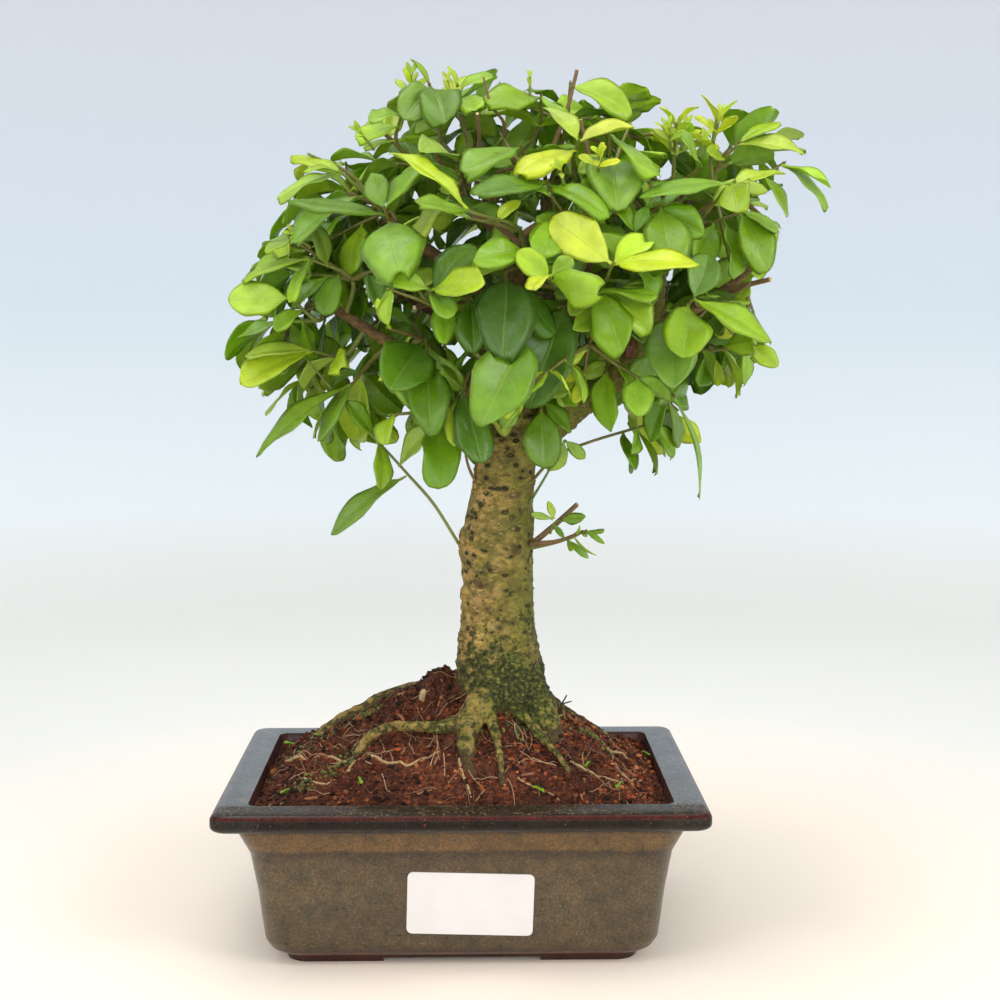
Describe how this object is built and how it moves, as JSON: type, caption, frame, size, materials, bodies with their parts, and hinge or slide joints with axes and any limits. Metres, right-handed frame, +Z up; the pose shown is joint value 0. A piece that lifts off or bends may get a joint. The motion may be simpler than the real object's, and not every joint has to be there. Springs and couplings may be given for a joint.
{
  "type": "chinese privet bonsai",
  "caption": "Small potted bonsai tree: thick tapering trunk with surface roots, forked branches and a rounded crown of oval leaves, in soil in a glazed rectangular pot that stands on a table.",
  "frame": {"origin": "bottom centre of the whole object's box, on the surface that the pot stands on; the pot's own centre lies 25 mm to the left of it and 9 mm to the front", "axes": "+Z up along the trunk, +X to the right along the pot's long side as seen from the side with the label, +Y to the back across the pot"},
  "size_m": [0.24, 0.211, 0.3575],
  "materials": {
    "pot_glaze": "satin",
    "label_paper": "satin",
    "drain_mesh_plastic": "matte",
    "soil": "matte",
    "bark": "matte",
    "leaf_mature": "satin",
    "leaf_young": "satin"
  },
  "bodies": {
    "root": {"pot": "pot_glaze", "label": "label_paper", "drain_mesh_left": "drain_mesh_plastic", "drain_mesh_right": "drain_mesh_plastic", "soil": "soil", "trunk_roots_and_branches": "bark", "shoot_lime_pair_front": "leaf_young", "shoot_lime_tuft_front": "leaf_young", "shoot_lime_slab": "leaf_young", "shoot_curtain_centre": "leaf_mature", "shoot_curtain_right": "leaf_mature", "shoot_cheek_centre": "leaf_mature", "shoot_forked_pair": "leaf_mature", "shoot_round_right": "leaf_mature", "shoot_temple_right": "leaf_young", "shoot_long_blade_right": "leaf_mature", "shoot_yellow_pair_top": "leaf_young", "shoot_brow_centre": "leaf_mature", "shoot_yellow_blade": "leaf_young", "shoot_round_left": "leaf_mature", "shoot_left_wing": "leaf_young", "shoot_left_fan": "leaf_young", "shoot_lime_round_left": "leaf_young", "shoot_left_shelf": "leaf_young", "shoot_left_low_pair": "leaf_mature", "shoot_long_shoot": "leaf_young", "shoot_veil_left": "leaf_mature", "shoot_veil_far_left": "leaf_mature", "shoot_shade_left": "leaf_mature", "shoot_lime_pair_left": "leaf_young", "shoot_tassel_centre": "leaf_mature", "shoot_tassel_right": "leaf_mature", "shoot_pale_cluster_right": "leaf_young", "shoot_right_hang": "leaf_mature", "shoot_right_crest": "leaf_mature", "shoot_right_tip": "leaf_mature", "shoot_right_low_twig": "leaf_mature", "shoot_right_tassel": "leaf_mature", "shoot_fork_leaf": "leaf_mature", "shoot_right_under": "leaf_mature", "shoot_top_left_round": "leaf_mature", "shoot_top_light": "leaf_mature", "shoot_top_broad": "leaf_mature", "shoot_top_bright": "leaf_mature", "shoot_crest_left": "leaf_mature", "shoot_brow_left": "leaf_mature", "shoot_brow_light": "leaf_mature", "shoot_new_growth_right": "leaf_young", "shoot_new_growth_tip": "leaf_young", "shoot_curl_right": "leaf_mature", "shoot_trunk_twig": "leaf_young", "shoot_back_left_high": "leaf_mature", "shoot_back_left_low": "leaf_mature", "shoot_back_centre_left": "leaf_mature", "shoot_back_centre": "leaf_mature", "shoot_back_under": "leaf_mature", "shoot_back_right_low": "leaf_mature", "shoot_back_right_high": "leaf_mature", "shoot_back_top": "leaf_mature", "shoot_back_top_left": "leaf_mature"}
  },
  "joints": []
}
